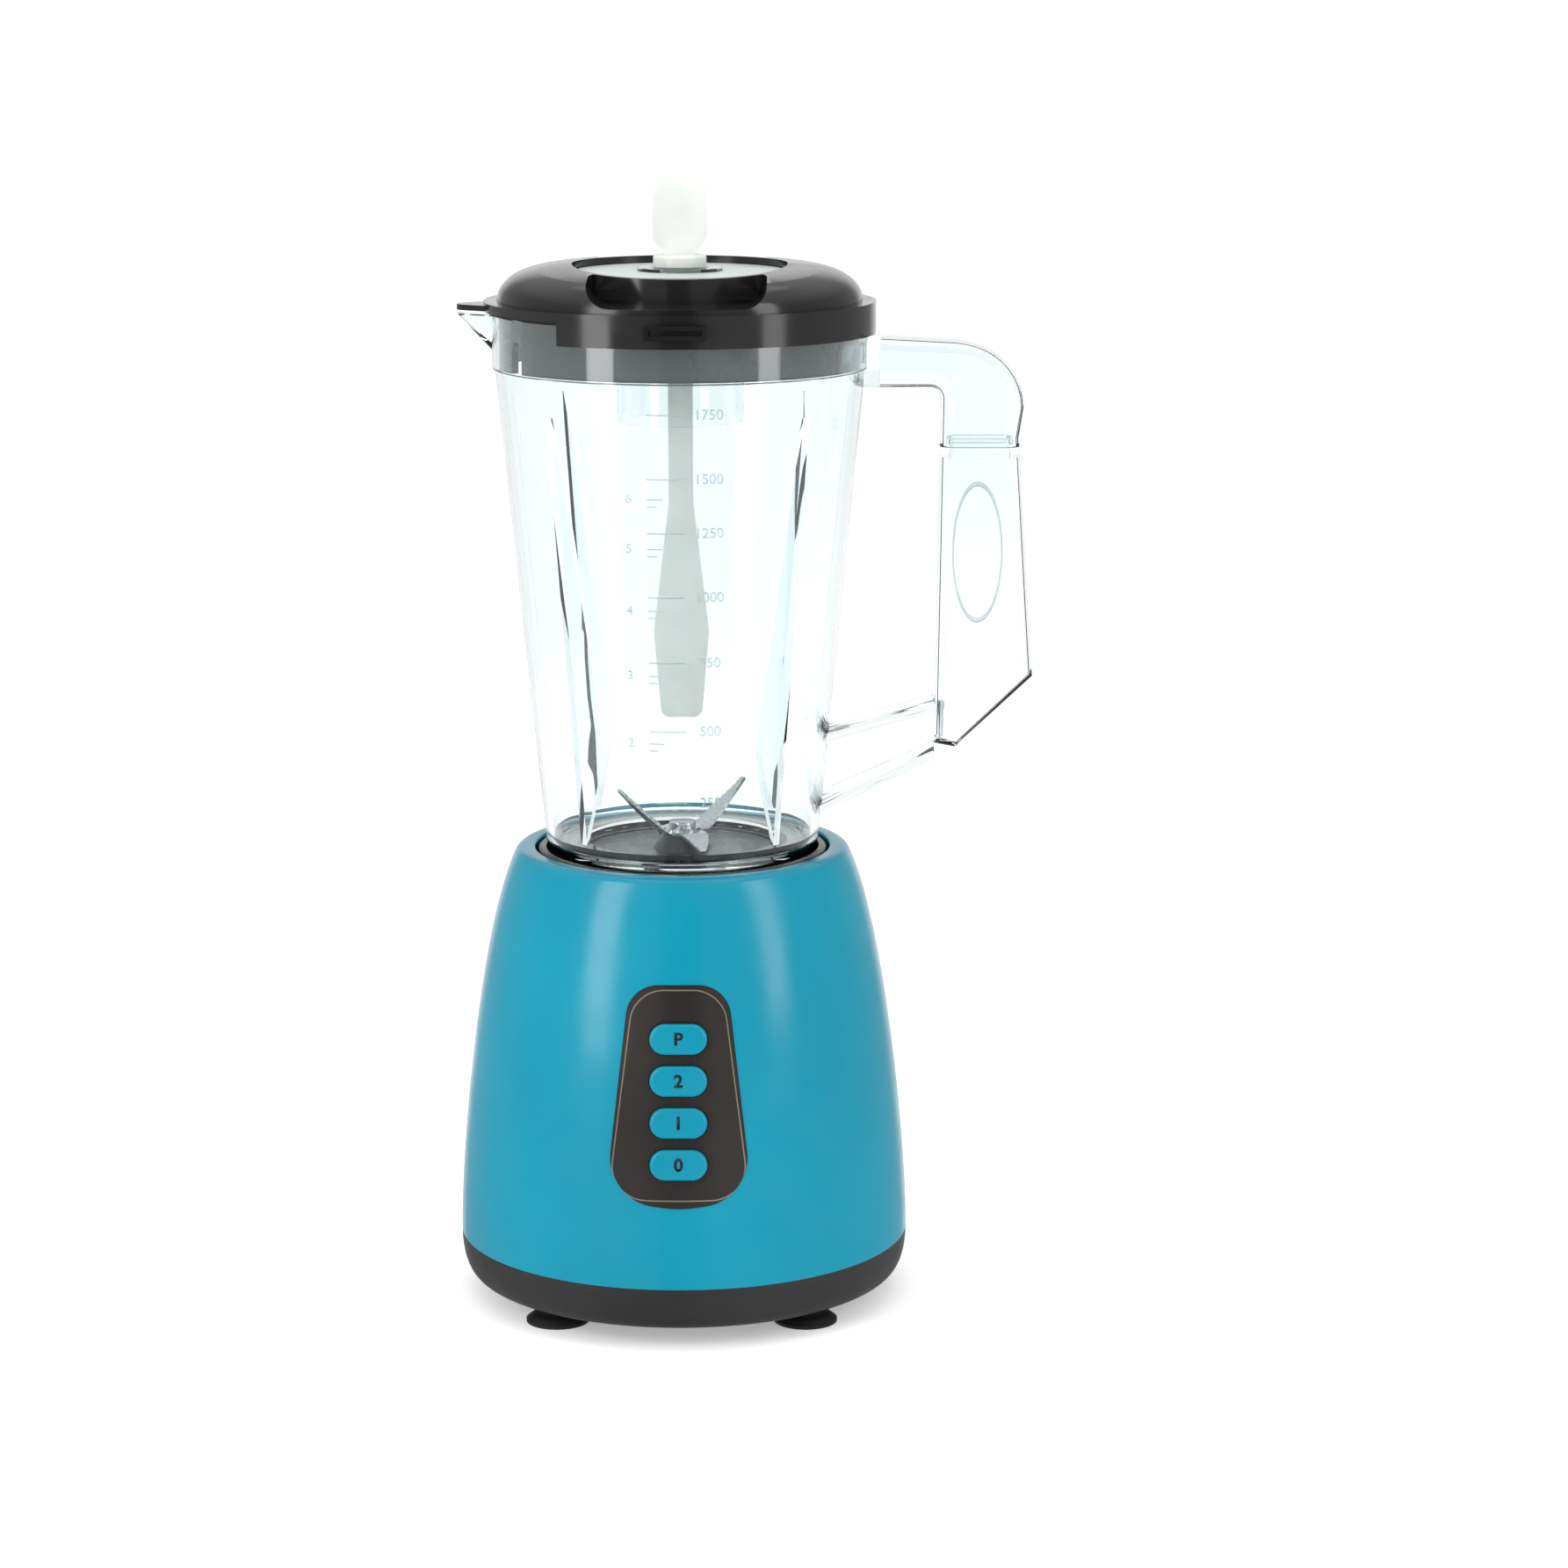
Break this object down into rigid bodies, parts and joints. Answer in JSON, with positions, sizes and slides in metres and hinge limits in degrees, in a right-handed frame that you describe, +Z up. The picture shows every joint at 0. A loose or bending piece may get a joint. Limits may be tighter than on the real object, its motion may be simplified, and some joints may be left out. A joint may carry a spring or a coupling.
{
  "type": "countertop blender",
  "caption": "Countertop blender: round motor base with push buttons, clear jug with handle and spout, domed lid, measuring cup, stirrer and steel blades.",
  "frame": {"origin": "where the blades' axis meets the surface that the four feet stand on", "axes": "+Z up along the blades' axis; the buttons face -Y; the jug's handle is on +X and its spout on -X"},
  "size_m": [0.2144, 0.1713, 0.4183],
  "materials": {
    "housing": "glossy teal ABS",
    "button": "glossy teal ABS",
    "dark": "satin dark grey",
    "panel": "glossy brown-black",
    "lid_black": "polished black",
    "clear": "clear SAN, polished",
    "stirrer_white": "translucent white",
    "rubber": "satin",
    "steel": "brushed stainless",
    "zinc_steel": "zinc plated",
    "laminations": "oiled sheet steel",
    "cast": "as cast",
    "copper": "varnished copper wire",
    "carbon": "pressed carbon",
    "brass": "drawn",
    "bronze": "sintered bronze",
    "nylon": "moulded nylon"
  },
  "bodies": {
    "base": {"base_housing": "housing", "bottom_cover": "dark", "cover_screws": "zinc_steel", "cord_gland": "rubber", "foot_front_left": "rubber", "foot_front_right": "rubber", "foot_back_left": "rubber", "foot_back_right": "rubber", "jug_seat": "dark", "control_panel": "panel", "switch_body": "dark", "upper_bracket": "cast", "lower_bracket": "cast", "upper_bearing": "steel", "lower_bearing": "steel", "stator_core": "laminations", "field_coils": "copper", "motor_screws": "zinc_steel", "motor_mounts": "rubber", "mount_studs": "zinc_steel", "brush_holders": "brass", "carbon_brushes": "carbon"},
    "motor_rotor": {"motor_shaft": "steel", "armature_core": "laminations", "armature_windings": "copper", "commutator": "brass", "cooling_fan": "nylon", "drive_coupling": "nylon"},
    "pulse_key": {"pulse_button": "button", "pulse_plunger": "nylon"},
    "speed_2_key": {"speed_2_button": "button", "speed_2_plunger": "nylon"},
    "speed_1_key": {"speed_1_button": "button", "speed_1_plunger": "nylon"},
    "stop_key": {"stop_button": "button", "stop_plunger": "nylon"},
    "jug": {"jug": "clear", "handle_arm": "clear", "handle_bridge": "clear", "handle_grip": "clear", "blade_base": "dark", "base_gasket": "rubber", "shaft_bush": "bronze", "shaft_seal": "rubber"},
    "blade": {"blade_shaft": "steel", "upper_blade": "steel", "lower_blade": "steel", "blade_nut": "steel", "driven_coupling": "rubber"},
    "lid": {"lid": "lid_black", "lid_plug": "lid_black", "lid_seal": "rubber"},
    "cup": {"measuring_cup": "clear"},
    "stirrer": {"stirrer": "stirrer_white"}
  },
  "joints": [
    {"name": "motor_spin", "type": "hinge", "parent": "base", "child": "motor_rotor", "pos_m": [0, 0, 0.1485], "axis": [0, 0, 1], "continuous": true},
    {"name": "jug_lift", "type": "slide", "parent": "base", "child": "jug", "axis": [0, 0, 1], "range_m": [0, 0.06]},
    {"name": "blade_spin", "type": "hinge", "parent": "jug", "child": "blade", "pos_m": [0, 0, 0.1755], "axis": [0, 0, 1], "continuous": true},
    {"name": "lid_lift", "type": "slide", "parent": "jug", "child": "lid", "axis": [0, 0, 1], "range_m": [0, 0.08]},
    {"name": "cup_lift", "type": "slide", "parent": "lid", "child": "cup", "axis": [0, 0, 1], "range_m": [0, 0.065]},
    {"name": "stirrer_lift", "type": "slide", "parent": "cup", "child": "stirrer", "axis": [0, 0, 1], "range_m": [0, 0.175]},
    {"name": "pulse_press", "type": "slide", "parent": "base", "child": "pulse_key", "axis": [0, 0.9922, -0.125], "range_m": [0, 0.0026], "stiffness_N_per_m": 600},
    {"name": "speed_2_press", "type": "slide", "parent": "base", "child": "speed_2_key", "axis": [0, 0.9922, -0.125], "range_m": [0, 0.0026]},
    {"name": "speed_1_press", "type": "slide", "parent": "base", "child": "speed_1_key", "axis": [0, 0.9922, -0.125], "range_m": [0, 0.0026]},
    {"name": "stop_press", "type": "slide", "parent": "base", "child": "stop_key", "axis": [0, 0.9922, -0.125], "range_m": [0, 0.0026], "stiffness_N_per_m": 600}
  ],
  "couplings": [
    {"joint": "blade_spin", "follows": "motor_spin", "ratio": 1}
  ]
}
